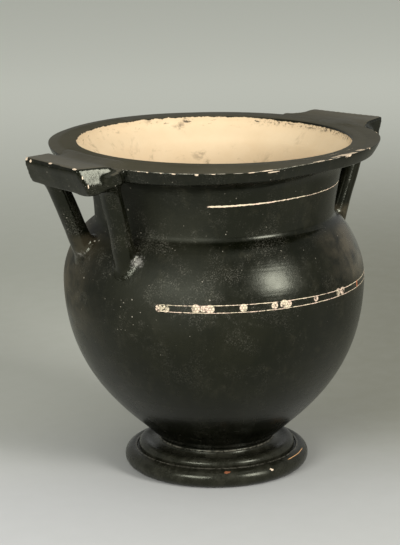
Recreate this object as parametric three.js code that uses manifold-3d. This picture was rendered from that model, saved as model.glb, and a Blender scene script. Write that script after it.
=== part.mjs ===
// A column krater: a wide wine-mixing bowl of wheel-thrown, fired clay with a black gloss.
// Millimetres, +Z up. The origin is on the table, on the vase's axis. The two handles stand on
// the X axis and the better side of the vase faces -Y.
import * as THREE from 'three';
import { mergeVertices } from 'three/addons/utils/BufferGeometryUtils.js';
import Module from 'manifold-3d';

// Lip: a broad flat-topped ring that overhangs the neck.
const lipHeight = 350;        // table to the crest of the lip
const lipRadius = 170.4;      // outer edge
const mouthRadius = 141;      // inner edge
const lipFlat = 15;           // width of the level ring beside the mouth
const lipFall = 3.5;          // how far the top falls from that ring to the outer edge
const lipFace = 14.5;         // height of the outer face
const lipDraw = 7.4;          // how far the outer face draws in, going down
const lipRound = 1.6;         // rounding of the lip's edges

// Neck and body.
const neckTopHeight = 317;
const neckTopRadius = 131;
const neckBaseHeight = 268.5;
const neckBaseRadius = 124;
const neckCrease = 2.2;       // size of the hollow line where neck and shoulder meet
const bellyHeight = 204;
const bellyRadius = 156.4;
const wall = 8;               // thickness of the thrown wall
const floorThickness = 14;    // clay between the bowl and the hollow of the foot
const mouthFlare = 32;        // depth over which the mouth narrows to the neck

// Foot: a fat roll, a stepped ring, a hollow band and a thin ring under the bowl.
const footRadius = 96.8;
const footRoll = 9.85;        // radius of the roll's section
const stepRadius = 80.6;
const stepHeight = 26;        // table to the top of the stepped ring
const stepRound = 5.2;
const stemRadius = 61.5;
const stemRing = 3.2;         // height of the thin ring
const stemHeight = 32;        // table to the start of the bowl
const restWidth = 9;          // flat ring that the vase stands on
const recessTopRadius = 50;
const recessHeight = 24;      // hollow under the foot

// Handles: a plate that runs out from the lip, on two slanting posts.
const plateOut = 38.4;        // from the lip's edge to the end of the plate
const plateEndWidth = 86;
const plateRootWidth = 93;
const plateEndDepth = 26;     // height of the plate's end face
const plateEndDraw = 8.4;     // how far the end face draws in, going down
const plateEndSwell = 1.2;    // how far the end face swells out under its top edge
const plateDepth = 17;        // thickness of the plate over the posts
const plateFillet = 20;       // reach of the hollow curve from the plate's side into the lip
const postRadius = 10.8;
const postFlare = 3.2;        // extra radius where a post meets the plate or the shoulder
const postOut = 2;            // how far the posts' tops stand outside the lip's edge
const postSpread = 71;        // between the posts, centre to centre
// The hand-built handles differ: the plate of the +X one is turned and a little shorter.
const turnedBy = THREE.MathUtils.degToRad(14);
const turnedShort = 9.3;
const turnedAside = -4.5;

const turns = 56;             // flat faces round the vase
const postSides = 18;

const wasm = await Module();
wasm.setup();
const point = (r, z) => new THREE.Vector2(r, z);

// A closed geometry as a solid that can be joined and cut.
function solid(geometry) {
  const bare = geometry.index ? geometry.toNonIndexed() : geometry.clone();
  bare.deleteAttribute('normal');
  bare.deleteAttribute('uv');
  const merged = mergeVertices(bare, 1e-4);
  return new wasm.Manifold(new wasm.Mesh({
    numProp: 3,
    vertProperties: new Float32Array(merged.attributes.position.array),
    triVerts: new Uint32Array(merged.index.array),
  }));
}

// A solid of revolution round the vase's axis.
function thrown(profile) {
  return solid(new THREE.LatheGeometry(profile, turns).rotateX(Math.PI / 2));
}

// Evenly spaced points of a curve; the last one is left to the next curve.
function along(curve, count) {
  return curve.getSpacedPoints(count).slice(0, count);
}

// The same points moved off the curve, to its left for a positive distance.
function beside(curve, count, distance) {
  return Array.from({ length: count + 1 }, (_, i) => {
    const way = curve.getTangentAt(i / count);
    return curve.getPointAt(i / count).add(point(-way.y, way.x).multiplyScalar(distance));
  });
}

// Body: one curve swells from the stem to the belly, another closes over the shoulder.
const bowlRise = THREE.MathUtils.degToRad(43);
const bowlSpring = 0.49 * (bellyRadius - stemRadius);
const bowlStart = stemRadius - 1;
const bowl = new THREE.CubicBezierCurve(
  point(bowlStart, stemHeight),
  point(bowlStart + bowlSpring * Math.cos(bowlRise), stemHeight + bowlSpring * Math.sin(bowlRise)),
  point(bellyRadius, bellyHeight - 0.58 * (bellyHeight - stemHeight)),
  point(bellyRadius, bellyHeight),
);
const creaseFoot = point(neckBaseRadius + neckCrease, neckBaseHeight - 1.4 * neckCrease);
const shoulderRun = 0.38 * (bellyRadius - neckBaseRadius);
const shoulder = new THREE.CubicBezierCurve(
  point(bellyRadius, bellyHeight),
  point(bellyRadius, bellyHeight + 0.42 * (neckBaseHeight - bellyHeight)),
  point(creaseFoot.x + shoulderRun, creaseFoot.y - 0.5 * shoulderRun),
  creaseFoot,
);
const crease = new THREE.QuadraticBezierCurve(
  creaseFoot, point(neckBaseRadius, neckBaseHeight - neckCrease), point(neckBaseRadius, neckBaseHeight),
);
const neck = new THREE.QuadraticBezierCurve(
  point(neckBaseRadius, neckBaseHeight),
  point(neckBaseRadius + 0.6, (neckBaseHeight + neckTopHeight) / 2),
  point(neckTopRadius, neckTopHeight),
);

// Lip: hollowed underneath, then a leaning face and a top that rises to a level ring.
const lipEdgeHeight = lipHeight - lipFall;
const lipUnderRadius = lipRadius - lipDraw;
const lipUnderHeight = lipEdgeHeight - lipFace;
const underLip = new THREE.QuadraticBezierCurve(
  point(neckTopRadius, neckTopHeight),
  point(neckTopRadius + 0.25 * (lipUnderRadius - neckTopRadius), lipUnderHeight - 2),
  point(lipUnderRadius - lipRound, lipUnderHeight - 0.3),
);
function lipProfile() {
  const faceLean = lipDraw / lipFace;
  const topSlope = lipFall / (lipRadius - mouthRadius - lipFlat);
  return [
    point(lipUnderRadius - lipRound, lipUnderHeight - 0.3),
    point(lipUnderRadius, lipUnderHeight),
    point(lipUnderRadius + lipRound * faceLean, lipUnderHeight + lipRound),
    point(lipRadius - lipRound * faceLean, lipEdgeHeight - lipRound),
    point(lipRadius, lipEdgeHeight),
    point(lipRadius - lipRound, lipEdgeHeight + lipRound * topSlope),
    point(mouthRadius + lipFlat, lipHeight),
  ];
}

// Foot: from the flat ring that it stands on, up over the mouldings to the bowl.
function footProfile() {
  const rollCentre = footRadius - footRoll;
  const restInner = rollCentre - restWidth;
  const rollTop = 2 * footRoll;
  const roll = new THREE.Path().absarc(rollCentre, footRoll, footRoll, -Math.PI / 2, Math.PI / 2);
  const step = new THREE.Path().absarc(
    stepRadius - stepRound, stepHeight - stepRound, stepRound, 0, Math.PI / 2);
  const hollow = new THREE.QuadraticBezierCurve(
    point(stepRadius - stepRound - 1, stepHeight),
    point(stemRadius + 2, stepHeight - 0.5),
    point(stemRadius - 1.5, stemHeight - stemRing - 0.6),
  );
  return [
    point(0, recessHeight),
    point(recessTopRadius - 8, recessHeight),
    point(recessTopRadius, recessHeight - 3),
    point(restInner, 0),
    ...along(roll, 7),
    point(rollCentre, rollTop),
    point(stepRadius + 3.2, rollTop + 0.3),
    point(stepRadius + 0.6, rollTop - 0.9),
    ...along(step, 3),
    ...along(hollow, 3),
    point(stemRadius - 1.5, stemHeight - stemRing - 0.6),
    point(stemRadius, stemHeight - 0.62 * stemRing),
    point(stemRadius - 0.4, stemHeight - 0.25 * stemRing),
    point(stemRadius - 1.8, stemHeight - 0.6),
  ];
}

const body = thrown([
  ...footProfile(),
  ...along(bowl, 9),
  ...along(shoulder, 6),
  ...along(crease, 1),
  ...along(neck, 2),
  ...along(underLip, 3),
  ...lipProfile(),
  point(0, lipHeight),
]);

// The space inside, one wall's thickness within the body, from the floor up to the mouth.
function hollowProfile() {
  const inBowl = beside(bowl, 6, wall).slice(1);
  const inShoulder = beside(shoulder, 4, wall).slice(1);
  const inNeck = beside(neck, 2, wall);
  const flareStart = point(neckTopRadius - wall, lipHeight - mouthFlare);
  const flare = new THREE.CubicBezierCurve(
    flareStart,
    point(flareStart.x + 1, flareStart.y + 0.4 * mouthFlare),
    point(mouthRadius - 1.5, lipHeight - 0.45 * mouthFlare),
    point(mouthRadius, lipHeight - 2),
  );
  const floorHeight = recessHeight + floorThickness;
  return [
    point(0, floorHeight),
    point(0.6 * inBowl[0].x, floorHeight + 1),
    ...inBowl,
    ...inShoulder,
    ...inNeck.slice(0, 2),
    ...along(flare, 4),
    point(mouthRadius, lipHeight - 2),
    point(mouthRadius + 1.5, lipHeight),
    point(mouthRadius + 1.5, lipHeight + 5),
    point(0, lipHeight + 5),
  ];
}

// Plate: its outline seen from above, cut by its section seen from the side.
function plate(out, turn, aside) {
  const root = mouthRadius + 7;
  const end = lipRadius + out;
  const inTurned = (x, y) => point(x - root, y).rotateAround(point(0, 0), turn).add(point(root, aside));
  const outline = [inTurned(root, 0)];
  for (const side of [-1, 1]) {
    const rootCorner = inTurned(root, side * plateRootWidth / 2);
    const endCorner = inTurned(end, side * plateEndWidth / 2);
    const way = endCorner.clone().sub(rootCorner).normalize();
    const reach = -rootCorner.dot(way)
      + Math.sqrt(rootCorner.dot(way) ** 2 - rootCorner.lengthSq() + lipRadius ** 2);
    const crossing = rootCorner.clone().addScaledVector(way, reach);
    const onLip = crossing.clone().multiplyScalar(1 - 1 / lipRadius)
      .rotateAround(point(0, 0), side * plateFillet / lipRadius);
    const fillet = new THREE.QuadraticBezierCurve(
      onLip, crossing, crossing.clone().addScaledVector(way, plateFillet));
    const flank = [onLip.clone().multiplyScalar(root / lipRadius), ...along(fillet, 4), fillet.v2, endCorner];
    outline.push(...(side < 0 ? flank : flank.reverse()));
  }
  const seenAbove = new THREE.ExtrudeGeometry(new THREE.Shape(outline), {
    depth: plateEndDepth + 2, bevelEnabled: false,
  }).translate(0, 0, lipHeight - plateEndDepth - 2);

  const section = new THREE.Shape();
  const underside = lipHeight - plateDepth;
  const width = 2 * lipRadius;
  section.moveTo(0, lipHeight);
  section.lineTo(0, underside);
  section.lineTo(lipRadius, underside);
  section.lineTo(end - plateEndDraw - 12, lipHeight - plateEndDepth + 3);
  section.lineTo(end - plateEndDraw - 2, lipHeight - plateEndDepth);
  section.lineTo(end - plateEndDraw, lipHeight - plateEndDepth + 0.5);
  section.lineTo(end, lipHeight - 0.2 * plateEndDepth);
  section.lineTo(end - plateEndSwell, lipHeight);
  const seenAside = new THREE.ExtrudeGeometry(section, { depth: width, bevelEnabled: false })
    .rotateX(Math.PI / 2).translate(-root, width / 2, 0).rotateZ(turn).translate(root, aside, 0);
  return solid(seenAbove).intersect(solid(seenAside));
}

// Post: a hand-rolled round bar from the shoulder up into the plate, wider at both ends.
function post(top, foot) {
  const axis = top.clone().sub(foot);
  const up = axis.clone().normalize();
  const sunk = 10;
  const length = axis.length() + sunk + 0.6 * plateDepth;
  const profile = [point(0, 0)];
  for (const [share, flare] of [[0, 1], [0.12, 0.9], [0.24, 0.25], [0.7, 0], [0.82, 0.5], [0.92, 1.2], [1, 1.2]]) {
    profile.push(point(postRadius + flare * postFlare, share * length));
  }
  profile.push(point(0, length));
  const bar = new THREE.LatheGeometry(profile, postSides);
  const turn = new THREE.Quaternion().setFromUnitVectors(new THREE.Vector3(0, 1, 0), up);
  const start = foot.clone().addScaledVector(up, -sunk);
  return solid(bar.applyQuaternion(turn).translate(start.x, start.y, start.z));
}

// The point of the shoulder that is this far from the vase's axis.
function onShoulder(radius) {
  let low = 0;
  let high = 1;
  for (let i = 0; i < 30; i += 1) {
    const middle = (low + high) / 2;
    if (shoulder.getPoint(middle).x > radius) low = middle;
    else high = middle;
  }
  return shoulder.getPoint(low).y;
}

// One handle on the +X side: plate and two posts. A post's lean aside is told for top and foot.
function handle(out, turn, aside, leans) {
  const footRing = neckBaseRadius + 0.6 * (bellyRadius - neckBaseRadius);
  const pieces = [plate(out, turn, aside)];
  for (const { side, inTop, topAside, footAside } of leans) {
    const topY = side * postSpread / 2 + topAside;
    const footY = side * postSpread / 2 + footAside;
    const top = new THREE.Vector3(lipRadius + postOut - inTop, topY, lipHeight - plateDepth);
    const footX = Math.sqrt(footRing ** 2 - footY ** 2);
    pieces.push(post(top, new THREE.Vector3(footX, footY, onShoulder(footRing))));
  }
  return pieces.reduce((joined, piece) => joined.add(piece));
}

const left = handle(plateOut, 0, 0, [
  { side: -1, inTop: -9.6, topAside: -1, footAside: -6 },
  { side: 1, inTop: 4, topAside: 2, footAside: -6 },
]).rotate([0, 0, 180]);
const right = handle(plateOut - turnedShort, turnedBy, turnedAside, [
  { side: -1, inTop: 0, topAside: 2, footAside: 1 },
  { side: 1, inTop: 0, topAside: -1, footAside: 0 },
]);

const vase = body.add(left).add(right).subtract(thrown(hollowProfile()));

function geometryOf(manifold) {
  const mesh = manifold.getMesh();
  const geometry = new THREE.BufferGeometry();
  geometry.setAttribute('position', new THREE.BufferAttribute(new Float32Array(mesh.vertProperties), 3));
  geometry.setIndex(new THREE.BufferAttribute(new Uint32Array(mesh.triVerts), 1));
  geometry.computeVertexNormals();
  return geometry;
}

const blackGloss = new THREE.MeshStandardMaterial({ color: 0x2b2a22, roughness: 0.35, metalness: 0 });
const krater = new THREE.Mesh(geometryOf(vase), blackGloss);
krater.name = 'krater';

const model = new THREE.Group();
model.add(krater);
export default model;
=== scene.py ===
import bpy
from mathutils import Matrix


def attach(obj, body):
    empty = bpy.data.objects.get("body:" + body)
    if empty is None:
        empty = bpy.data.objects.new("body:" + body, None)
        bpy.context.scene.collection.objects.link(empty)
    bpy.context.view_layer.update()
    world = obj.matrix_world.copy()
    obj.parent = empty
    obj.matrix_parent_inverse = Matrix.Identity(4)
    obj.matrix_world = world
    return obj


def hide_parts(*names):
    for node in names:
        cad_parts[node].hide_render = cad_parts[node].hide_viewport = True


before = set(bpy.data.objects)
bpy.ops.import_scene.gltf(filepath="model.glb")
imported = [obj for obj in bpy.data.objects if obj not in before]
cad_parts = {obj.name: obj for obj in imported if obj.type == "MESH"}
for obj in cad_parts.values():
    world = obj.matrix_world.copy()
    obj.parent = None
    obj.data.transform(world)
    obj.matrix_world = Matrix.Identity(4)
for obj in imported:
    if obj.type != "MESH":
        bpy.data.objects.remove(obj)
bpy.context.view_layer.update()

import math

import bpy
import numpy as np
from mathutils import Matrix, Vector, kdtree, noise

mm = 0.001

# Thrown vase: foot, bowl, neck and broad lip in fired clay, turned on a wheel and hollow.
# One outline is drawn from under the foot, up over the lip and down inside to the floor,
# and spun once round the axis. Its wall is 8 mm thick, and closed all round.
lip_height = 350.0
lip_radius = 170.4
lip_edge = 346.5
lip_under = 332.0
belly_radius = 156.4
belly_height = 204.0
wall = 8.0
steps_round = 224


def bent(corners, count):
    """Points along a smooth curve that these corners pull on, without its last point."""
    points = []
    for i in range(count):
        level = [Vector(corner) for corner in corners]
        while len(level) > 1:
            level = [a.lerp(b, i / count) for a, b in zip(level, level[1:])]
        points.append(level[0])
    return points


def rounded(centre, radius, start, end, count):
    """Points of an arc, with its angles in degrees from the outward direction."""
    angles = [math.radians(start + (end - start) * i / count) for i in range(count)]
    return [Vector((centre[0] + radius * math.cos(a), centre[1] + radius * math.sin(a))) for a in angles]


def inward(points, distance):
    """The same curve moved into the clay, to the left of the way it runs."""
    moved = []
    for i, p in enumerate(points):
        way = (points[min(i + 1, len(points) - 1)] - points[max(i - 1, 0)]).normalized()
        moved.append(p + Vector((-way.y, way.x)) * distance)
    return moved


stem = Vector((60.5, 32.0))
spring = 0.49 * (belly_radius - 61.5)
bowl_corners = [
    stem,
    stem + spring * Vector((math.cos(math.radians(43)), math.sin(math.radians(43)))),
    (belly_radius, belly_height - 0.58 * (belly_height - 32)),
    (belly_radius, belly_height),
]
crease_foot = Vector((126.2, 265.4))
shoulder_corners = [
    (belly_radius, belly_height),
    (belly_radius, belly_height + 27.1),
    crease_foot + Vector((12.3, -6.2)),
    crease_foot,
]
foot_outline = [
    Vector((0, 24)), Vector((24, 24)), *bent([(42, 24), (50, 24), (51, 19)], 5),
    *bent([(52, 18.5), (64, 10), (76.5, 1)], 8),
    *bent([(77, 0.3), (77.6, 0), (79, 0)], 3),
    *rounded((86.95, 9.85), 9.85, -90, 84, 26),
    *bent([(87.4, 19.4), (86.2, 19.0), (85.4, 19.3)], 3),
    *bent([(85.0, 19.6), (84.1, 19.6), (83.8, 18.6)], 4),
    *bent([(83.6, 17.8), (82.6, 17.2), (82.0, 18.0)], 4),
    *rounded((76.0, 21.0), 6.1, -18, 116, 18),
    *bent([(73.0, 26.2), (69, 23.8), (64.0, 23.4), (59.7, 27.2)], 14),
    *bent([(60.0, 28.0), (62.1, 28.3), (62.1, 31.0), (60.3, 31.2)], 9),
    *bent([(60.1, 31.2), (59.3, 31.2), (59.7, 31.9)], 4),
]
bowl_outline = bent(bowl_corners, 52)
for p in bowl_outline:
    # A faint turned line low on the bowl.
    p += Vector((0.35, -0.35)) * math.exp(-((p.y - 38.9) / 1.6) ** 2)
shoulder_outline = [p for p in bent(shoulder_corners, 32) if p.x > 128.4]
neck_outline = [
    *bent([(127.6, 264.5), (124.4, 266.0), (123.9, 270.6)], 8),
    *bent([(123.9, 271.2), (124.9, 293.5), (131.0, 317.0)], 16),
]
lip_outline = [
    *bent([(131.0, 317.0), (137.0, 329.5), (152.0, 331.5), (158.0, 331.7)], 14),
    *bent([(158.5, 331.7), (163.0, 331.2), (164.6, 335.0)], 8),
    *bent([(164.8, 335.5), (168.0, 341.0), (169.8, 344.6)], 7),
    *bent([(169.9, 345.0), (170.9, 346.8), (168.6, 347.0)], 7),
    *bent([(168.4, 347.0), (162.0, 348.6), (156.0, 350.0), (150.0, 350.0)], 10),
    *bent([(149.0, 350.0), (141.8, 350.2), (141.0, 349.0), (140.9, 347.0)], 10),
]
inside_outline = [
    *bent([(140.8, 346.0), (139.5, 335.6), (124.0, 330.8), (123.0, 318.0)], 12),
    *reversed(inward(bent([(124.0, 268.5), (124.6, 292.7), (131.0, 317.0)], 7), wall)),
    *reversed(inward([*bent(shoulder_corners, 14), crease_foot], wall)[1:-1]),
    *reversed(inward(bent(bowl_corners, 26), wall)[2:]),
    Vector((58, 39)), Vector((30, 38.2)), Vector((0, 38)),
]
outline = [*foot_outline, *bowl_outline, *shoulder_outline, *neck_outline, *lip_outline, *inside_outline]


def thrown(name, line, steps):
    """One point drawn along the outline, and the line spun once round the axis."""
    bpy.ops.object.select_all(action="DESELECT")
    bpy.ops.mesh.primitive_plane_add(size=0.01, location=(0, 0, 0))
    piece = bpy.context.object
    piece.name = name
    bpy.ops.object.mode_set(mode="EDIT")
    bpy.ops.mesh.merge(type="CENTER")
    bpy.ops.transform.translate(value=(line[0].x * mm, 0, line[0].y * mm))
    for here, there in zip(line, line[1:]):
        step = (there - here) * mm
        bpy.ops.mesh.extrude_vertices_move(TRANSFORM_OT_translate={"value": (step.x, 0, step.y)})
    bpy.ops.mesh.select_all(action="SELECT")
    bpy.ops.mesh.spin(steps=steps, angle=2 * math.pi, center=(0, 0, 0), axis=(0, 0, 1))
    bpy.ops.mesh.select_all(action="SELECT")
    bpy.ops.mesh.remove_doubles(threshold=1e-6)
    bpy.ops.mesh.normals_make_consistent(inside=False)
    bpy.ops.object.mode_set(mode="OBJECT")
    return piece


vase = thrown("vase", outline, steps_round)

# Handles: each is a clay plate that runs out from the lip and stands on two slanting posts,
# shaped by hand and luted on while soft. The +X plate is turned a little and is shorter.
# From the axis: the end of the longer plate, where both plates start, and the posts' feet.
plate_end = 208.8
plate_root = 148.0
post_foot_radius = 143.4
# Half the width at the root, the curve into the lip, and how much shorter the +X plate is.
root_half_width = 46.5
side_curve = 20
right_plate_short = 9.3
# Half the thickness of a post, and how finely the clay of the handles is worked.
post_girth = 10.8
cell = 1.7


def ease(value, low, high):
    """0 below low, 1 above high, and a smooth rise between them."""
    t = np.clip((value - low) / (high - low), 0, 1)
    return t * t * (3 - 2 * t)


def points_of(piece):
    """The piece's points in millimetres, one row each."""
    flat = np.empty(len(piece.data.vertices) * 3)
    piece.data.vertices.foreach_get("co", flat)
    return flat.reshape(-1, 3) / mm


def put_points(piece, points):
    """The piece's points set back in place, from millimetres."""
    piece.data.vertices.foreach_set("co", (points * mm).ravel())
    piece.data.update()


def plate_side(side, length, turn, aside, lip_reach, half_end):
    """How far one side of a plate lies from its middle line, from the root to the end.

    With a long reach the side runs into the lip in a hollow curve, with a short one straight.
    """
    c, s = math.cos(turn), math.sin(turn)

    def seen(x, y):
        return Vector((plate_root + x * c - y * s, aside + x * s + y * c))

    def back(p):
        x, y = p.x - plate_root, p.y - aside
        return x * c + y * s, -x * s + y * c

    root, end = seen(0, side * root_half_width), seen(length, side * half_end)
    way = (end - root).normalized()
    reach = -root.dot(way) + math.sqrt(root.dot(way) ** 2 - root.length_squared + lip_radius ** 2)
    crossing = root + way * reach
    turned = side * lip_reach / lip_radius
    on_lip = Vector((crossing.x * math.cos(turned) - crossing.y * math.sin(turned),
                     crossing.x * math.sin(turned) + crossing.y * math.cos(turned))) * 0.994
    on_side = crossing + way * side_curve
    joint = [*bent([on_lip, crossing, on_side], 12), on_side] if lip_reach > 15 else [on_lip]
    places = [back(p) for p in [*joint, end]]
    xs = np.array([p[0] for p in places])
    ys = np.array([p[1] for p in places])
    order = np.argsort(xs)
    return lambda x: np.interp(x, xs[order], ys[order])


def plate(name, length, turn, aside, dish, lean, twist, sag, sides):
    """A clay slab: its top flush with the lip, its end leaning in and thicker than its root.

    Each of its two sides has a reach along the lip, half a width at the end and a fall.
    """
    bpy.ops.object.select_all(action="DESELECT")
    bpy.ops.mesh.primitive_cube_add(size=1, location=(0, 0, 0))
    slab = bpy.context.object
    slab.name = name
    bpy.ops.object.mode_set(mode="EDIT")
    bpy.ops.mesh.subdivide(number_cuts=31)
    bpy.ops.object.mode_set(mode="OBJECT")
    p = points_of(slab) * mm
    out, across, up = p[:, 0] + 0.5, 2 * p[:, 1], p[:, 2] + 0.5
    x = out * length
    # Thickness: even over the posts, more at the end, and most where one corner sags.
    end_at = plate_root + length
    under = np.interp(x + plate_root, [0, lip_radius, end_at - 20.4, end_at - 10.4, end_at - 8.4],
                      [17, 17, 23, 26, 25.5])
    under = under + sag * ease(x, length - 30, length) * np.exp(-((across - 0.75) / 0.3) ** 2)
    top = lip_height - 0.2 - dish * (1 - across ** 2) * ease(out, 0.15, 0.45) * (1 - ease(out, 0.8, 1.0))
    depth = (1 - up) * under
    z = top - depth
    # The end face swells under its top edge, then draws in towards the bottom.
    pulled = np.interp(depth, [0, 5.2, 25.5], [1.2, 0, 8.4]) + twist * depth * ease(across, 0, 1)
    x = out * (length - pulled)
    low, high = (plate_side(side, length, turn, aside, reach, half_end)(x)
                 for side, (reach, half_end, _) in zip((-1, 1), sides))
    y = low + (high - low) * (across + 1) / 2
    # One side leans with depth, and the other way for its first stretch beside the lip.
    lean = lean * (1 - 2.2 * (1 - ease(x, 5, 19)))
    y = y + lean * np.interp(depth, [0, 16, 19, 27], [0, 16, 15, 10]) * ease(across, 0.2, 1)
    c, s = math.cos(turn), math.sin(turn)
    plan_x, plan_y = plate_root + x * c - y * s, aside + x * s + y * c
    from_axis = np.hypot(plan_x, plan_y)
    # Where the sides meet the lip, the top falls with the lip's outer part.
    fall = np.where(across < 0, sides[0][2], sides[1][2])
    fall = fall * ease(from_axis, 154, 169) * (1 - ease(from_axis, 171, 186))
    z = z - fall * up * ease(np.abs(across), 0.55, 0.95)
    put_points(slab, np.stack([plan_x, plan_y, z], axis=1))
    return slab


outer_line = np.array([tuple(p) for p in [*bowl_outline, *shoulder_outline, *neck_outline]])


def body_radius(height):
    """Radius of the outside at a height."""
    return float(np.interp(height, outer_line[:, 1], outer_line[:, 0]))


def post(name, top, foot, girth, pad):
    """A rolled bar of clay from the shoulder up into the plate, smeared out at its foot."""
    top, foot = Vector(top), Vector(foot)
    way = (top - foot).normalized()
    outward = Vector((foot.x, foot.y, 0)).normalized()
    outward = (outward - way * outward.dot(way)).normalized()
    beside = way.cross(outward)
    sides, rows, skirt = 44, 40, 8
    rise, spread = 7.5, 7.0
    bpy.ops.object.select_all(action="DESELECT")
    bpy.ops.mesh.primitive_circle_add(vertices=sides, radius=1, fill_type="TRIFAN", location=(0, 0, 0))
    bar = bpy.context.object
    bar.name = name
    bpy.ops.object.mode_set(mode="EDIT")
    bpy.ops.mesh.select_all(action="SELECT")
    for _ in range(rows):
        bpy.ops.mesh.extrude_region_move(TRANSFORM_OT_translate={"value": (0, 0, 1)})
    bpy.ops.mesh.select_all(action="SELECT")
    bpy.ops.mesh.normals_make_consistent(inside=False)
    bpy.ops.object.mode_set(mode="OBJECT")
    # The bar runs on past its top, into the clay of the plate.
    length = (top - foot).length + 10 + 0.8 * pad

    def girth_at(along):
        """The bar swells into the plate, and a little towards the shoulder."""
        share = along / length
        return girth + (3.6 + pad) * ease(share, 0.74, 0.98) + 1.0 * (1 - ease(share, 0.0, 0.35))

    meets = {}

    def meeting(angle):
        """Where this side of the bar runs into the shoulder, and the way the clay is smeared."""
        if angle not in meets:
            aside = outward * math.cos(angle) + beside * math.sin(angle)
            low, high = -45.0, 60.0
            for _ in range(40):
                middle = (low + high) / 2
                p = foot + way * middle + aside * float(girth_at(max(middle, 0)))
                if math.hypot(p.x, p.y) < body_radius(p.z):
                    low = middle
                else:
                    high = middle
            p = foot + way * low + aside * float(girth_at(max(low, 0)))
            flat = Vector((p.x, p.y, 0)).normalized()
            slope = body_radius(p.z + 0.5) - body_radius(p.z - 0.5)
            normal = (flat - Vector((0, 0, slope))).normalized()
            smear = (aside - normal * aside.dot(normal)).normalized()
            meets[angle] = (low, p, normal, smear)
        return meets[angle]

    points = []
    for vertex in bar.data.vertices:
        u, v, row = vertex.co
        rim = math.hypot(u, v)
        angle = round(math.atan2(v, u), 4)
        if rim < 0.5:
            # The middle of an end: inside the plate, or inside the wall of the shoulder.
            inside = foot - Vector((foot.x, foot.y, 0)).normalized() * 4.0 - Vector((0, 0, 4.0))
            points.append(tuple(foot + way * length if row > rows / 2 else inside))
            continue
        low, p, normal, smear = meeting(angle)
        aside = outward * math.cos(angle) + beside * math.sin(angle)
        if row < skirt + 0.5:
            # The smeared foot: out of the wall, over the shoulder and up into the bar.
            t = row / skirt
            edge = p + smear * spread
            shift = body_radius(edge.z) - math.hypot(edge.x, edge.y)
            edge = edge + Vector((edge.x, edge.y, 0)).normalized() * shift
            if t == 0:
                spot = edge - normal * 3.2
            else:
                t = (t - 1 / skirt) / (1 - 1 / skirt)
                upper = foot + way * (low + rise) + aside * float(girth_at(max(low + rise, 0)))
                spot = edge * (1 - t) ** 2 + (p + normal * 0.2) * 2 * t * (1 - t) + upper * t * t
                spot = spot - normal * 0.5 * (1 - t) ** 6
        else:
            t = (row - skirt) / (rows - skirt)
            along = (low + rise) + (length - low - rise) * t
            spot = foot + way * along + aside * float(girth_at(max(along, 0)))
        points.append(tuple(spot))
    points = np.array(points)
    points[:, 2] = np.minimum(points[:, 2], lip_height - 4.5)
    put_points(bar, points)
    return bar


# Each post: its top, its foot on the shoulder and how much wider it is under the plate.
above_belly = outer_line[60:]
shoulder_z = float(np.interp(-post_foot_radius, -above_belly[:, 0], above_belly[:, 1]))
left_posts = [((-168.6, -38.3, 333), (-140.3, -29.5), 3.2), ((-182.0, 36.5, 333), (-137.3, 41.5), 0)]
right_posts = [((172.4, -33.5, 333), (139.2, -34.5), 0), ((172.4, 34.5, 333), (138.9, 35.5), 0)]


def handle(name, slab, posts, lump):
    """The plate and its posts pressed into one piece of clay, with the joints smoothed over."""
    bars = [post(f"{name}_post", top, (*foot, shoulder_z), post_girth, pad) for top, foot, pad in posts]
    bpy.ops.object.select_all(action="DESELECT")
    for piece in [slab, *bars]:
        piece.select_set(True)
    bpy.context.view_layer.objects.active = slab
    bpy.ops.object.join()
    slab.name = name
    # One skin over all of it.
    bpy.ops.object.modifier_add(type="REMESH")
    slab.modifiers[-1].mode = "VOXEL"
    slab.modifiers[-1].voxel_size = cell * mm
    bpy.ops.object.modifier_apply(modifier=slab.modifiers[-1].name)
    # A ring round the top of each post is smoothed most.
    p = points_of(slab)
    near = np.zeros(len(p))
    for top, foot, pad in posts:
        top, foot = np.array(top), np.array((*foot, shoulder_z))
        way = (top - foot) / np.linalg.norm(top - foot)
        along = (p - foot) @ way
        aside = np.linalg.norm(p - foot - along[:, None] * way, axis=1)
        meet = np.linalg.norm(top - foot) - 4
        apart = np.hypot(aside - 14.5 - pad, along - meet)
        near = np.maximum(near, 1 - ease(apart, 4, 12))
    for weights, rounds in ((np.full(len(p), 1.0), 2), (near, 22)):
        group = slab.vertex_groups.new(name="joint")
        for i, weight in enumerate(weights):
            if weight > 0.01:
                group.add([i], float(weight), "REPLACE")
        bpy.ops.object.modifier_add(type="SMOOTH")
        slab.modifiers[-1].factor = 0.5
        slab.modifiers[-1].iterations = rounds
        slab.modifiers[-1].vertex_group = group.name
        bpy.ops.object.modifier_apply(modifier=slab.modifiers[-1].name)
        slab.vertex_groups.clear()
    # Fingers left the surface uneven, and the top less so.
    p = points_of(slab)
    normals = np.empty(len(p) * 3)
    slab.data.vertices.foreach_get("normal", normals)
    lumps = np.array([noise.noise(Vector(q) * 0.035) + 0.3 * noise.noise(Vector(q) * 0.12) for q in p])
    lumps = lumps * (1 - 0.8 * ease(p[:, 2], 346, 350))
    put_points(slab, p + lump * (lumps - 0.1)[:, None] * normals.reshape(-1, 3))
    return slab


left_slab = plate("left_plate", length=plate_end - plate_root, turn=0, aside=0, dish=0.7, lean=0.33,
                  twist=0.10, sag=1.6, sides=((20, 43, 3.6), (10, 39.5, 3.6)))
put_points(left_slab, points_of(left_slab) * np.array([-1, -1, 1]))
left_handle = handle("left_handle", left_slab, left_posts, 0.45)
right_slab = plate("right_plate", length=plate_end - right_plate_short - plate_root,
                   turn=math.radians(14), aside=-4.5, dish=1.6, lean=0.0,
                   twist=0.0, sag=0.6, sides=((20, 43, 3.6), (20, 43, 0.0)))
right_handle = handle("right_handle", right_slab, right_posts, 0.2)

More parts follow.
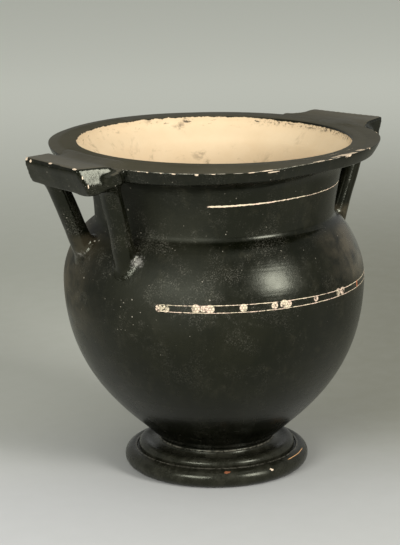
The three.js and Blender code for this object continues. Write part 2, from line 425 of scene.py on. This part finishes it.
# Both handles are joined to the vase, and each face keeps a mark of how it was made.
for piece, made in ((vase, 0), (left_handle, 1), (right_handle, 1)):
    mark = piece.data.attributes.new("by_hand", "FLOAT", "FACE")
    mark.data.foreach_set("value", [float(made)] * len(piece.data.polygons))
for piece in (left_handle, right_handle):
    bpy.ops.object.select_all(action="DESELECT")
    vase.select_set(True)
    bpy.context.view_layer.objects.active = vase
    bpy.ops.object.modifier_add(type="BOOLEAN")
    vase.modifiers[-1].operation = "UNION"
    vase.modifiers[-1].solver = "MANIFOLD"
    vase.modifiers[-1].object = piece
    bpy.ops.object.modifier_apply(modifier=vase.modifiers[-1].name)
    bpy.data.objects.remove(piece, do_unlink=True)

# Seams: where the handles were luted on, the wet clay was smeared over the joint with a finger.
by_hand = np.empty(len(vase.data.polygons))
vase.data.attributes["by_hand"].data.foreach_get("value", by_hand)
touch = [set() for _ in vase.data.vertices]
for face, hand in zip(vase.data.polygons, by_hand):
    for i in face.vertices:
        touch[i].add(hand > 0.5)
p = points_of(vase)
seam_points = [i for i, kinds in enumerate(touch) if len(kinds) == 2]
tree = kdtree.KDTree(len(seam_points))
for i in seam_points:
    tree.insert(Vector(p[i]), i)
tree.balance()
far_away = 99.0
apart = np.full(len(p), far_away)
for i, q in enumerate(p):
    if abs(q[0]) > 95 and q[2] > 200:
        apart[i] = tree.find(Vector(q))[2]
radius = np.hypot(p[:, 0], p[:, 1])
outside = radius > np.interp(p[:, 2], outer_line[:, 1], outer_line[:, 0] - wall / 2)
seam = (1 - ease(apart, 2, 9)) * outside
group = vase.vertex_groups.new(name="seam")
for i in np.nonzero(seam > 0.01)[0]:
    group.add([int(i)], float(seam[i]), "REPLACE")
bpy.ops.object.modifier_add(type="SMOOTH")
vase.modifiers[-1].factor = 0.5
vase.modifiers[-1].iterations = 8
vase.modifiers[-1].vertex_group = "seam"
bpy.ops.object.modifier_apply(modifier=vase.modifiers[-1].name)
vase.vertex_groups.clear()

# Firing and handling left the vase a little out of true: the lip waves, the neck sits aslant
# and the belly leans. The maker's marks on the surface keep their place on the clay.
p = points_of(vase)
radius, height = np.hypot(p[:, 0], p[:, 1]), p[:, 2].copy()
bearing = np.degrees(np.arctan2(p[:, 0], -p[:, 1]))
mid_wall = np.interp(height, [*outer_line[:, 1], 322, 328, 331, 333, 350],
                     [*(outer_line[:, 0] - wall / 2), 129, 133, 138, 146, 146])
in_bowl = (height > 37.5) & (radius < mid_wall)
# How deep a place lies in the mouth, and how far across the lip's edge, for the finish.
not_inside, not_near_edge = -10.0, 60.0
depth = np.where(in_bowl, lip_height - height, not_inside)
across_edge = np.where(height > lip_edge, radius - lip_radius, (lip_edge - height) * 1.12)
across_edge = np.where((radius > 150) & (height > 330), across_edge, not_near_edge)
# How far the lip's edge and its underside rise, by bearing in degrees.
edge_turns = [-180, -153, -130, -110, -90, -50, -30, -22, -12, -2,
              6, 13, 21, 35, 50, 75, 95, 148, 165, 180]
edge_rise = [-0.7, -0.7, 0.8, -0.7, -1.8, -1.8, -1.6, -0.3, 1.9, 2.9,
             3.5, 3.5, 3.3, 2.8, 2.3, 0, -1.6, -1.6, -1, -0.7]
under_turns = [-180, -110, -90, -72, -62, -50, -40, -30, -17, -8, 7, 20, 50, 80, 100, 180]
under_rise = [-1, -1, -1.2, -2.2, -1.6, -1.2, 0.2, 1.0, 2.0, 3.8, 4.2, 3.8, 2.6, 0, -1.2, -1]
turn = np.radians(bearing)
# The ring by the mouth dips and tilts, and each rise dies out from the lip down to the neck.
mouth_rise = -2.0 + 1.8 * np.cos(turn + math.radians(40.5)) - 0.9 * np.cos(turn - math.radians(49.5))
top_rise = np.interp(bearing, edge_turns, edge_rise)
low_rise = np.interp(bearing, under_turns, under_rise)
outward = np.clip((radius - 156) / 14.4, 0, 1)
crest_rise = (mouth_rise * (1 - outward) + top_rise * outward) * (1 - ease(radius, 172, 186))
face_share = np.clip((height - lip_under) / (lip_edge - lip_under), 0, 1)
face_rise = low_rise * (1 - face_share) + crest_rise * face_share
rise = face_rise * ease(height, 296, lip_under)
rise = np.where(in_bowl, mouth_rise * ease(height, 300, 345), rise)
# The crease of the neck runs aslant, and the belly leans to the back and left.
crease_rise = 2.4 * np.cos(turn - math.radians(25))
rise = rise + crease_rise * ease(height, 236, 266) * (1 - ease(height, 271, 300))
lean = 1.5 * ease(height, 40, 195) * (1 - ease(height, 215, 300))
p[:, 0] += -0.76 * lean
p[:, 1] += 0.649 * lean
p[:, 2] = np.minimum(p[:, 2] + rise, lip_height - 0.02)
put_points(vase, p)
for name, values in (("depth_in_mouth", depth), ("across_lip_edge", across_edge), ("seam", seam)):
    mark = vase.data.attributes.new(name, "FLOAT", "POINT")
    mark.data.foreach_set("value", values.astype(float))
bpy.ops.object.select_all(action="DESELECT")
vase.select_set(True)
bpy.context.view_layer.objects.active = vase
bpy.ops.object.shade_smooth_by_angle(angle=math.radians(38))

# Finish: a black gloss slip over the outside and the lip, cream paint on the neck and belly,
# and bare clay inside. The gloss is worn along the edges and chipped through to the clay.
gloss = bpy.data.materials.new("black_gloss")
gloss.use_nodes = True
finish = gloss.node_tree
surface = finish.nodes["Principled BSDF"]


def joined(step, socket, part):
    """A number, a colour or another step put into a socket of this one."""
    if isinstance(part, (int, float, tuple)):
        step.inputs[socket].default_value = part
    else:
        finish.links.new(part, step.inputs[socket])


def reckon(kind, *parts, clamp=False):
    """One step of arithmetic between numbers and other steps of the finish."""
    step = finish.nodes.new("ShaderNodeMath")
    step.operation = kind
    step.use_clamp = clamp
    for socket, part in enumerate(parts):
        joined(step, socket, part)
    return step.outputs[0]


def in_turn(kind, parts):
    """The same step taken with each part after the first."""
    found = parts[0]
    for part in parts[1:]:
        found = reckon(kind, found, part)
    return found


def times(*parts):
    return in_turn("MULTIPLY", parts)


def plus(*parts):
    return in_turn("ADD", parts)


def minus(*parts):
    return in_turn("SUBTRACT", parts)


def most(*parts):
    return in_turn("MAXIMUM", parts)


def least(*parts):
    return in_turn("MINIMUM", parts)


def gap(value, mark):
    """How far a value is from a mark, on either side."""
    return reckon("ABSOLUTE", minus(value, mark))


def fade(value, low, high, start=0.0, end=1.0):
    """A smooth change from start to end while value goes from low to high."""
    step = finish.nodes.new("ShaderNodeMapRange")
    step.interpolation_type = "SMOOTHSTEP"
    sockets = ("Value", "From Min", "From Max", "To Min", "To Max")
    for socket, part in zip(sockets, (value, low, high, start, end)):
        joined(step, socket, part)
    return step.outputs["Result"]


def cloud(at, scale, detail=4.0, rough=0.55, twist=0.0):
    """Uneven patches of about this many to the metre."""
    step = finish.nodes.new("ShaderNodeTexNoise")
    joined(step, "Vector", at)
    for socket, part in (("Scale", scale), ("Detail", detail), ("Roughness", rough), ("Distortion", twist)):
        joined(step, socket, part)
    return step.outputs["Fac"]


def tinted(share, under, over):
    """One colour laid over another by a share."""
    step = finish.nodes.new("ShaderNodeMix")
    step.data_type = "RGBA"
    joined(step, "Factor", share)
    for socket, part in ((6, under), (7, over)):
        joined(step, socket, (*part, 1) if isinstance(part, tuple) else part)
    return step.outputs[2]


def placed(x, y, z):
    """A place to read a pattern at, made of three steps or numbers."""
    step = finish.nodes.new("ShaderNodeCombineXYZ")
    for socket, part in enumerate((x, y, z)):
        joined(step, socket, part)
    return step.outputs[0]


def split(at):
    """The x, y and z of a place or a direction."""
    step = finish.nodes.new("ShaderNodeSeparateXYZ")
    joined(step, 0, at)
    return step.outputs


def marked(name):
    """What the maker's marks say at each place on the clay."""
    step = finish.nodes.new("ShaderNodeAttribute")
    step.attribute_name = name
    return step.outputs["Fac"]


place = finish.nodes.new("ShaderNodeTexCoord")
spot = place.outputs["Object"]
px, py, pz = split(spot)
facing_up = split(place.outputs["Normal"])[2]
z_mm = times(pz, 1000)
r_mm = times(reckon("SQRT", plus(times(px, px), times(py, py))), 1000)
degrees = times(reckon("ARCTAN2", px, times(py, -1)), 180 / math.pi)
deep = marked("depth_in_mouth")
edge = marked("across_lip_edge")
luted = marked("seam")
hand = marked("by_hand")
outside_only = fade(deep, -2, -4)
inside_only = fade(deep, -4, -2)
top_side = times(fade(facing_up, 0.75, 0.93), fade(z_mm, 338, 344))
foot_side = fade(z_mm, 34, 26)
lip_mm_per_degree = 2.974
belly_mm_per_degree = 2.72

fine = cloud(spot, 420, 3)
middle = cloud(spot, 95, 5, 0.6)
broad = cloud(spot, 14, 4, 0.6)
worn = cloud(spot, 260, 4, 0.7)
torn = times(minus(cloud(spot, 340, 4, 0.65), 0.5), 1.7)
ring_marks = cloud(placed(times(px, 9), times(py, 9), times(pz, 330)), 1, 3)
streaks = cloud(placed(times(degrees, 1.4), times(pz, 14), 0), 1, 4)
mottle = cloud(placed(times(px, 60), times(py, 60), times(pz, 38)), 1, 6, 0.72)

# Gloss: nearly black with an olive cast, brown where it fired thin by the handles, greyer on
# the level tops where dust lies, and darkened low on the bowl as painted shade.
black = tinted(fade(broad, 0.42, 0.68), (0.0018, 0.0022, 0.0008), (0.0050, 0.0052, 0.0022))
black = tinted(fade(streaks, 0.5, 0.75, 0, 0.35), black, (0.0075, 0.0075, 0.0036))
black = tinted(fade(middle, 0.58, 0.80, 0, 0.4), black, (0.016, 0.015, 0.0085))
brown_right = times(fade(degrees, 2, 32), fade(z_mm, 192, 226))
brown_left = times(fade(degrees, -84, -125), fade(z_mm, 110, 190))
brown_side = times(most(brown_right, brown_left), fade(z_mm, 268, 258),
                   fade(cloud(spot, 26, 5, 0.68), 0.34, 0.62))
black = tinted(times(brown_side, 0.8), black, (0.080, 0.066, 0.040))
black = tinted(fade(mottle, 0.52, 0.68, 0, 0.75), black, (0.0115, 0.0110, 0.0062))
top_shade = tinted(fade(broad, 0.35, 0.65), (0.038, 0.033, 0.018), (0.050, 0.044, 0.027))
top_shade = tinted(fade(r_mm, 160, 200), top_shade, (0.082, 0.073, 0.050))
black = tinted(top_side, black, top_shade)
# Painted shade: the gloss is made blacker towards the bottom of the bowl.
black = tinted(times(fade(z_mm, 130, 60), 0.8), black, (0.0010, 0.0012, 0.0004))
foot_shade = tinted(fade(middle, 0.3, 0.75), (0.0075, 0.0075, 0.0045), (0.020, 0.0195, 0.013))
black = tinted(times(foot_side, 0.8), black, foot_shade)


def flake(at, centre, size):
    """How far a place is from the middle of a worn spot: 0 there and 1 at its rim."""
    for kind, by in (("SUBTRACT", centre), ("DIVIDE", size), ("LENGTH", (0, 0, 0))):
        step = finish.nodes.new("ShaderNodeVectorMath")
        step.operation = kind
        joined(step, 0, at)
        joined(step, 1, by)
        at = step.outputs["Value" if kind == "LENGTH" else "Vector"]
    return at


# Chips along the lip, by bearing in degrees and distance from the edge, then by their half sizes.
lip_chips = [
    (6.6, -7.0, 9.0, 2.4), (10.6, -5.6, 8.0, 7.4), (14.4, -4.4, 7.0, 3.6), (5.0, -1.0, 3.0, 0.5),
    (21.4, -6.0, 5.0, 4.8), (25.0, -1.0, 2.0, 2.6), (-3.4, -2.0, 8.0, 2.0), (1.0, -0.3, 3.0, 0.6),
    (-21.0, 2.6, 5.5, 1.0), (-23.5, -0.4, 7.0, 0.9), (-28.5, -0.1, 3.5, 0.8),
    (-41.0, 0.2, 2.2, 0.6), (-46.3, 1.2, 1.9, 1.2), (-53.8, 0.5, 2.2, 0.9), (-62.8, 0.3, 1.3, 0.7),
    (-66.0, 0.0, 1.6, 0.5), (-58.0, 0.2, 1.3, 0.5), (57.0, -0.6, 6.0, 0.6), (63.0, -0.4, 3.0, 0.5),
    (118.0, 0.4, 3.0, 1.2), (135.0, 0.0, 5.0, 0.9), (171.0, 0.8, 2.5, 1.6), (-165.0, -0.5, 4.0, 1.0),
    (-138.0, 0.3, 2.5, 1.1),
]
on_edge = placed(times(degrees, lip_mm_per_degree), edge, 0.0)
lip_gap = least(*[flake(on_edge, (at * lip_mm_per_degree, off, 0), (half, wide, 1))
                  for at, off, half, wide in lip_chips])
# Chips on the corners of the plates and on the foot, by place and half sizes in metres.
loose_chips = [
    ((-0.2078, 0.0410, 0.3485), (0.0018, 0.0023, 0.0020)),
    ((-0.2085, 0.0330, 0.3470), (0.0015, 0.0018, 0.0014)),
    ((-0.2070, 0.0020, 0.3492), (0.0012, 0.0024, 0.0009)),
    ((-0.2074, -0.0365, 0.3490), (0.0016, 0.0032, 0.0010)),
    ((-0.1990, -0.0475, 0.3330), (0.0007, 0.0009, 0.0026)),
    ((-0.2030, -0.0434, 0.3410), (0.0007, 0.0009, 0.0022)),
    ((0.1975, -0.0330, 0.3480), (0.0018, 0.0022, 0.0014)),
    ((-0.0065, -0.0954, 0.0146), (0.0015, 0.0014, 0.0010)),
    ((-0.0078, -0.0950, 0.0158), (0.0014, 0.0012, 0.0006)),
    ((0.1880, 0.0540, 0.3485), (0.0020, 0.0020, 0.0014)),
    ((0.0100, 0.0960, 0.0120), (0.0024, 0.0016, 0.0016)),
    ((-0.0560, 0.0770, 0.0120), (0.0018, 0.0018, 0.0014)),
]
loose_gap = least(*[flake(spot, centre, size) for centre, size in loose_chips])
chipped = fade(plus(least(lip_gap, loose_gap), torn), 1.05, 0.85)

# Wear: the front edge of the lip is rubbed to the clay in dashes, the foot has one long scratch,
# and two of its ridges are lightened in broken lines, partly grey wear and partly painted highlight.
along_lip = cloud(placed(times(degrees, 0.35), 0, 0), 1, 4, 0.7)
rubbed = times(fade(gap(edge, -0.2), 0.60, 0.15), fade(along_lip, 0.44, 0.56),
               fade(degrees, -76, -70), fade(degrees, 8, 3))
foot_scratch = times(fade(gap(r_mm, plus(91.6, times(middle, 0.9))), 0.45, 0.1),
                     fade(degrees, 12, 15), fade(degrees, 40, 36), fade(z_mm, 22, 20), fade(z_mm, 8, 10))
# Painted highlight with wear: pale broken lines along the arris above the roll and along the thin ring
# under the bowl.
worn_arris_and_highlight = times(fade(gap(r_mm, 85.3), 1.3, 0.5), fade(z_mm, 18.2, 19.0), fade(z_mm, 22.0, 21.0))
worn_ring_and_highlight = times(fade(gap(z_mm, 29.8), 1.5, 0.8), fade(r_mm, 61.0, 61.5), fade(z_mm, 32, 31.5))
worn_foot_and_highlight = times(most(worn_arris_and_highlight, worn_ring_and_highlight), fade(worn, 0.38, 0.6))
# Two pale patches where the posts of the -X handle meet the shoulder, partly scuffs and partly painted
# highlights, and a rust spot on the foot.
scuffs_and_highlights = least(flake(spot, (-0.1345, -0.0415, 0.2460), (0.0085, 0.0075, 0.0070)),
               flake(spot, (-0.1420, 0.0400, 0.2440), (0.0070, 0.0080, 0.0065)))
scuffs_and_highlights = fade(plus(scuffs_and_highlights, times(torn, 1.3)), 1.2, 0.3)
rust = flake(spot, (-0.0520, -0.0771, 0.0176), (0.0036, 0.0030, 0.0013))
rust = fade(plus(rust, torn), 1.05, 0.7)

# Paint: one scratched line on the neck and, round the belly, two thin lines with small dotted
# rosettes between them, in a chalky white slip that has half worn off.


def stripe(height, half, start, end, keep):
    """A painted line at a height, from one bearing to another, worn to what is kept."""
    wobble = times(minus(middle, 0.5), 0.9)
    off = reckon("ABSOLUTE", plus(minus(z_mm, height), wobble))
    line = fade(minus(off, times(minus(worn, 0.5), 1.2)), half, half - 0.35)
    return times(line, fade(degrees, start - 0.4, start + 0.2), fade(degrees, end + 0.4, end - 0.2),
                 fade(worn, keep, keep + 0.1))


def rosette(bearing, height, size, petals):
    """A round of dots about a middle dot."""
    across = times(minus(degrees, bearing), belly_mm_per_degree)
    up = minus(z_mm, height)
    far = reckon("DIVIDE", reckon("SQRT", plus(times(across, across), times(up, up))), size)
    wave = reckon("COSINE", times(reckon("ARCTAN2", up, across), petals))
    dots = times(fade(gap(far, 0.74), 0.3, 0.16), fade(wave, -0.75, -0.1))
    ring = times(fade(gap(far, 0.95), 0.16, 0.06), 0.6)
    return most(dots, fade(far, 0.36, 0.2), ring, fade(far, 1.05, 0.9, 0, 0.5))


neck_height = plus(303.6, times(fade(degrees, -44, 0), 2.3))
neck_half = fade(degrees, -42, 6, 0.85, 0.35)
neck_off = reckon("ABSOLUTE", plus(minus(z_mm, neck_height), times(minus(middle, 0.5), 1.6)))
neck_off = minus(neck_off, times(minus(worn, 0.5), 1.8), neck_half)
neck_line = times(fade(neck_off, 0.2, -0.2), fade(degrees, -44.2, -42.5), fade(degrees, 45, 43.5))
band_end = 60.5
upper_height = plus(210.6, times(reckon("SINE", times(degrees, -0.06)), 0.7))
upper = stripe(upper_height, 0.42, -band_end, band_end, 0.33)
lower = stripe(203.9, 0.42, -band_end, band_end, 0.34)
# Rosettes, by bearing in degrees, height, radius and number of dots.
rosettes = [
    (-61.2, 206.8, 3.6, 5), (-58.6, 206.6, 3.4, 6), (-47.6, 208.2, 4.0, 6), (-44.9, 208.0, 3.0, 5),
    (-42.4, 207.9, 4.0, 6), (-30.4, 208.2, 3.7, 6), (-18.6, 208.0, 3.3, 5), (-14.8, 208.2, 4.1, 7),
    (-13.0, 208.0, 3.3, 6), (-0.6, 208.0, 2.7, 3), (12.0, 208.2, 3.6, 5), (14.8, 208.2, 3.6, 5),
    (44.5, 207.6, 3.8, 6), (59.0, 207.2, 3.6, 5),
]
drawn = times(most(*[rosette(*one) for one in rosettes]), fade(worn, 0.36, 0.54))
painted = times(most(upper, lower, drawn, neck_line), outside_only)
red_bar = times(fade(gap(degrees, 27.7), 0.55, 0.3), fade(gap(z_mm, 207.2), 3.6, 3.0))
cream = tinted(fade(middle, 0.4, 0.62), (0.72, 0.62, 0.42), (0.80, 0.60, 0.45))

# Grit and dust: small losses and dirt in the gloss, thickest on the shoulder by the left handle.
cells = finish.nodes.new("ShaderNodeTexVoronoi")
joined(cells, "Vector", spot)
joined(cells, "Scale", 210.0)
speck_room = times(plus(0.075, fade(degrees, -10, -70, 0.0, 0.085)), fade(cloud(spot, 34, 3), 0.44, 0.60),
                   fade(z_mm, 120, 232, 0.25, 1.0), reckon("POWER", cells.outputs["Color"], 1.6))
specks = fade(minus(cells.outputs["Distance"], times(speck_room, 1.7)), 0.03, -0.03)
specks = times(specks, outside_only, minus(1, times(top_side, 0.8)))
dust_room = times(fade(cloud(spot, 24, 5, 0.75), 0.46, 0.62), fade(degrees, 25, -60, 0.12, 0.42),
                  fade(z_mm, 120, 235, 0.25, 1.0), fade(z_mm, 300, 262, 0.35, 1.0))
dust = fade(cloud(spot, 760, 3, 0.75), 0.50, 0.66)
dust = reckon("MULTIPLY", dust, times(dust_room, 2.4), clamp=True)
dust = times(dust, outside_only, minus(1, top_side))

# Bare clay: the inside, smudged by use, up to a torn edge where the gloss of the lip was brushed
# over it, and the hollow under the foot.
clay = tinted(cloud(spot, 30, 5, 0.6), (0.60, 0.45, 0.265), (0.69, 0.555, 0.36))
smudges = cloud(placed(times(degrees, 0.10), times(pz, 45), 0), 1, 6, 0.72, 0.5)
smudges = times(fade(smudges, 0.53, 0.68, 0, 0.6), fade(cloud(spot, 11, 2), 0.45, 0.60), inside_only)
clay = tinted(smudges, clay, (0.22, 0.165, 0.10))
right_back = times(fade(degrees, 40, 62), fade(degrees, 128, 104))
brush = fade(cloud(placed(times(degrees, 0.16), times(pz, 210), 0), 1, 6, 0.75, 0.3), 0.56, 0.64)
brush = most(brush, times(fade(cloud(spot, 300, 5, 0.8), 0.50, 0.60), right_back))
brush = times(brush, fade(deep, plus(14, times(right_back, -4)), 4), inside_only)
ragged = minus(cloud(placed(times(degrees, 0.17), 0, 0), 1, 7, 0.75), 0.5)
ragged = minus(plus(deep, times(ragged, -7)), times(right_back, 1.5))
under_foot = times(fade(z_mm, 25, 24.4), fade(r_mm, 80, 76), fade(facing_up, -0.3, -0.5))
bare = most(fade(ragged, 1.2, 1.8), times(under_foot, outside_only))
clay = tinted(times(brush, bare), clay, (0.035, 0.030, 0.020))

colour = black
for share, over in (
    (times(worn_foot_and_highlight, 0.7), (0.13, 0.122, 0.092)),
    (times(scuffs_and_highlights, 0.8), (0.26, 0.25, 0.215)),
    (times(dust, 0.55), (0.15, 0.142, 0.11)),
    (times(specks, 0.6), (0.34, 0.31, 0.24)),
    (times(rubbed, 0.65), (0.55, 0.50, 0.38)),
    (painted, cream),
    (red_bar, (0.52, 0.14, 0.045)),
    (foot_scratch, (0.72, 0.40, 0.17)),
    (rust, (0.20, 0.075, 0.035)),
    (chipped, tinted(fine, (0.60, 0.45, 0.30), (0.74, 0.62, 0.46))),
    (bare, clay),
):
    colour = tinted(share, colour, over)
finish.links.new(colour, surface.inputs["Base Color"])

dusty = times(fade(degrees, -25, -55), fade(z_mm, 170, 200), fade(r_mm, 162, 156), minus(1, hand))
rough = plus(fade(middle, 0.3, 0.75, 0.22, 0.28), fade(broad, 0.4, 0.7, 0.0, 0.03), times(top_side, 0.28))
rough = minus(rough, times(foot_side, fade(middle, 0.35, 0.65, 0.01, -0.05)), times(hand, 0.10))
rough = plus(rough, times(dusty, 0.30))
rough = reckon("ADD", rough, times(most(painted, chipped, bare, rubbed), 0.5), clamp=True)
finish.links.new(rough, surface.inputs["Roughness"])
surface.inputs["Specular IOR Level"].default_value = 0.29
surface.inputs["Specular Tint"].default_value = (0.97, 1.0, 0.78, 1)

smear = cloud(spot, 120, 4, 0.6, 1.6)
relief = plus(times(middle, 0.16), times(fine, 0.035), times(ring_marks, 0.10), times(smear, luted, 0.9))
relief = plus(minus(relief, times(chipped, 0.5)), times(specks, 0.12))
raised = finish.nodes.new("ShaderNodeBump")
raised.inputs["Strength"].default_value = 1.0
raised.inputs["Distance"].default_value = 1.0 * mm
finish.links.new(relief, raised.inputs["Height"])
finish.links.new(raised.outputs[0], surface.inputs["Normal"])

vase.data.materials.clear()
vase.data.materials.append(gloss)
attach(vase, "root")
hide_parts("krater")

# Studio: a pale floor that runs back out of view, painted with shade and light, a large soft light
# to the right of the camera, a smaller one to its left, a broad dim one overhead, and a camera that looks
# down into the mouth.
bpy.ops.object.select_all(action="DESELECT")
bpy.ops.mesh.primitive_plane_add(size=24, location=(0, 0, 0))
floor = bpy.context.object
floor.name = "floor"
paper = bpy.data.materials.new("floor_paper_painted_light")
paper.use_nodes = True
finish = paper.node_tree
coat = finish.nodes["Principled BSDF"]
floor_spot = finish.nodes.new("ShaderNodeTexCoord").outputs["Object"]
floor_x, floor_y, _ = split(floor_spot)
# Distances over the floor from the vase, to the camera's right and away from it.
to_right = plus(times(floor_x, 0.760), times(floor_y, -0.649))
to_back = plus(times(floor_x, 0.649), times(floor_y, 0.760))
# Painted shade and light on the floor: pale in front of the vase, shaded behind it and darkest to the
# camera's right, and bright far back.
left_floor_shading = tinted(fade(to_back, 0.1, 0.9), (0.48, 0.485, 0.42), (0.40, 0.41, 0.345))
middle_floor_shading = tinted(fade(to_right, -0.24, 0.26), left_floor_shading, (0.265, 0.265, 0.21))
near_floor_shading = tinted(fade(to_right, -0.3, 0.3), (0.51, 0.515, 0.49), (0.47, 0.475, 0.44))
floor_colour_painted_light = tinted(fade(to_back, -0.16, 0.20), near_floor_shading, middle_floor_shading)
floor_colour_painted_light = tinted(fade(to_back, 0.7, 2.6), floor_colour_painted_light, (0.97, 0.99, 0.89))
paler = tinted(0.05, floor_colour_painted_light, (1.0, 1.0, 1.0))
floor_colour_painted_light = tinted(cloud(floor_spot, 40, 3), floor_colour_painted_light, paler)
finish.links.new(floor_colour_painted_light, coat.inputs["Base Color"])
coat.inputs["Roughness"].default_value = 0.9
coat.inputs["Specular IOR Level"].default_value = 0.1
floor.data.materials.append(paper)

aim = Vector((0, 0, 0.17))


def soft_light(name, bearing, lift, distance, width, tall, watts, colour):
    """A flat softbox that faces the vase from a bearing and a height in degrees."""
    a, e = math.radians(bearing), math.radians(lift)
    way = Vector((math.sin(a) * math.cos(e), -math.cos(a) * math.cos(e), math.sin(e)))
    bpy.ops.object.light_add(type="AREA", location=aim + way * distance)
    lamp = bpy.context.object
    lamp.name = name
    lamp.data.shape = "RECTANGLE"
    lamp.data.size, lamp.data.size_y = width, tall
    lamp.data.energy = watts
    lamp.data.color = colour
    lamp.rotation_euler = (-way).to_track_quat("-Z", "Y").to_euler()


soft_light("right_softbox", bearing=8, lift=22, distance=3.4, width=1.02, tall=1.26, watts=98,
           colour=(1.0, 0.98, 1.0))
soft_light("left_softbox", bearing=-68, lift=17, distance=1.9, width=1.0, tall=0.50, watts=28,
           colour=(0.98, 0.98, 1.0))
soft_light("overhead", bearing=-20, lift=80, distance=2.4, width=2.4, tall=2.4, watts=15.5,
           colour=(1.0, 0.99, 0.98))

world = bpy.context.scene.world or bpy.data.worlds.new("studio_air")
bpy.context.scene.world = world
world.use_nodes = True
air = world.node_tree.nodes["Background"]
air.inputs["Color"].default_value = (0.62, 0.63, 0.61, 1)
air.inputs["Strength"].default_value = 0.55

bpy.ops.object.camera_add(location=(-1.44513, -1.69203, 0.76596))
camera = bpy.context.object
camera.name = "camera"
view_right = Vector((0.763525, -0.645715, -0.009079))
view_up = Vector((0.164448, 0.180818, 0.969671))
view_back = Vector((-0.624489, -0.741861, 0.244245))
facing_vase = Matrix((view_right, view_up, view_back)).transposed().to_4x4()
camera.matrix_world = Matrix.Translation(camera.location) @ facing_vase
camera.data.sensor_width = 36
camera.data.lens = 145.387
camera.data.clip_end = 60
bpy.context.scene.view_settings.view_transform = "Standard"
bpy.context.scene.camera = camera
